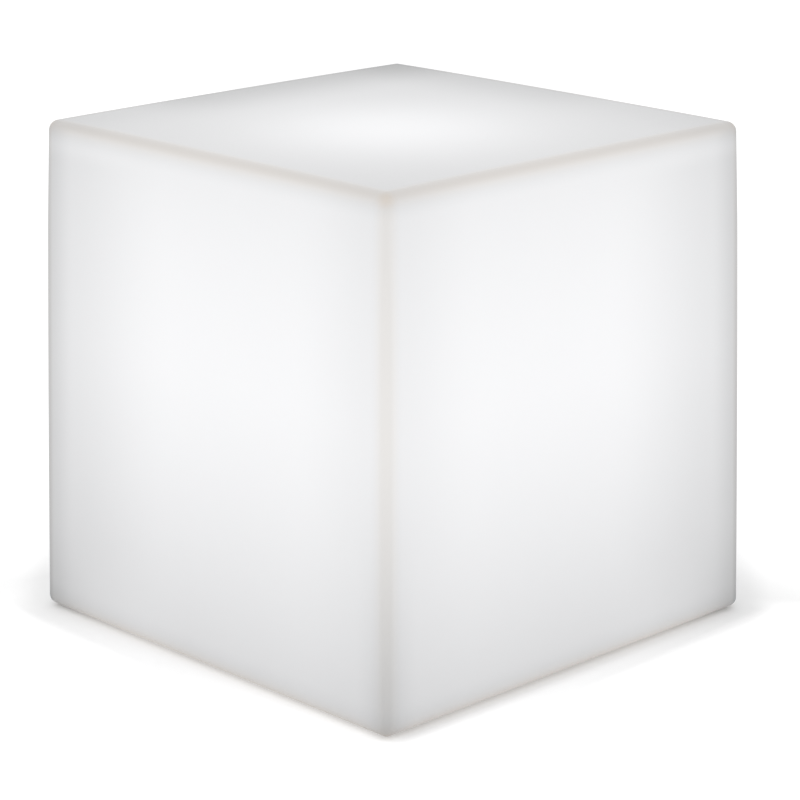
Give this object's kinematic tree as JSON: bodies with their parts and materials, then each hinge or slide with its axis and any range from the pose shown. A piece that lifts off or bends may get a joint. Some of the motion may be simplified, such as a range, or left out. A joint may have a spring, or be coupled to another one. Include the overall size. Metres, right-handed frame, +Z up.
{
  "type": "led cube light",
  "caption": "Cordless glowing cube light: a hollow translucent cube shell with softly rounded edges, lit from a rechargeable light module screwed into its base.",
  "frame": {"origin": "on the floor under the middle of the cube, level with the soles of its four feet", "axes": "+Z up, X and Y square to the cube's sides; the charging port lies on the +Y side of the base, the buttons on its -Y side"},
  "size_m": [0.3996, 0.3996, 0.4015],
  "materials": {
    "shell_polyethylene": "milky translucent polyethylene, fine satin texture, glows when lit",
    "module_abs": "white ABS, fine spark-eroded texture",
    "button_abs": "light grey ABS, lightly polished",
    "foot_rubber": "pale grey thermoplastic rubber, matte",
    "seal_silicone": "translucent white silicone",
    "gasket_foam": "black closed-cell foam",
    "stainless_steel": "stainless steel, turned",
    "brass_insert": "plain brass",
    "aluminium_plate": "milled aluminium",
    "nickel_strip": "nickel-plated strip",
    "board_laminate": "green solder mask on glass-fibre laminate",
    "led_board_laminate": "white solder mask on an aluminium core",
    "component_black": "black moulded epoxy and nylon",
    "cell_wrap": "blue shrink sleeve",
    "cradle_abs": "black ABS",
    "lead_pvc": "red PVC sleeve",
    "connector_nylon": "natural white nylon",
    "thermal_silicone": "pale blue thermal silicone",
    "led_phosphor": "pale yellow phosphor in a white package",
    "clear_pipe": "clear polycarbonate",
    "dome_frosted": "frosted white polycarbonate"
  },
  "bodies": {
    "light": {"cube_shell": "shell_polyethylene", "threaded_inserts": "brass_insert", "foot_pads": "foot_rubber", "module_gasket": "gasket_foam", "module_screws": "stainless_steel", "module_housing": "module_abs", "charging_socket": "component_black", "charging_socket_pin": "stainless_steel", "charging_socket_nut": "nickel_strip", "port_cover_pin": "stainless_steel", "power_button_boot": "seal_silicone", "power_switch": "component_black", "mode_button_boot": "seal_silicone", "mode_switch": "component_black", "control_board": "board_laminate", "board_components": "component_black", "board_screws": "stainless_steel", "indicator_light_pipe": "clear_pipe", "breather_vent": "component_black", "battery_cradle": "cradle_abs", "battery_cells": "cell_wrap", "battery_tabs": "nickel_strip", "battery_strap": "nickel_strip", "strap_screws": "stainless_steel", "cradle_screws": "stainless_steel", "lead_connectors": "connector_nylon", "battery_lead": "lead_pvc", "socket_lead": "lead_pvc", "led_lead": "lead_pvc", "lead_grommet": "gasket_foam", "heat_spreader": "aluminium_plate", "spreader_screws": "stainless_steel", "thermal_pad": "thermal_silicone", "led_board": "led_board_laminate", "led_packages": "led_phosphor", "led_board_screws": "stainless_steel", "diffuser_dome": "dome_frosted", "dome_seal": "gasket_foam", "dome_screws": "stainless_steel"},
    "power_button": {"power_button": "button_abs", "power_switch_plunger": "component_black"},
    "mode_button": {"mode_button": "button_abs", "mode_switch_plunger": "component_black"},
    "port_cover": {"port_cover": "module_abs", "port_cover_seal": "seal_silicone"}
  },
  "joints": [
    {"name": "power_press", "type": "slide", "parent": "light", "child": "power_button", "axis": [0, 0, 1], "range_m": [0, 0.0012], "stiffness_N_per_m": 500, "springref_m": -0.0012, "deforming": ["power_button_boot"]},
    {"name": "mode_press", "type": "slide", "parent": "light", "child": "mode_button", "axis": [0, 0, 1], "range_m": [0, 0.0012], "stiffness_N_per_m": 500, "springref_m": -0.0012, "deforming": ["mode_button_boot"]},
    {"name": "port_cover_hinge", "type": "hinge", "parent": "light", "child": "port_cover", "pos_m": [0, 0.0196, 0.0092], "axis": [-1, 0, 0], "range_deg": [0, 105]}
  ]
}
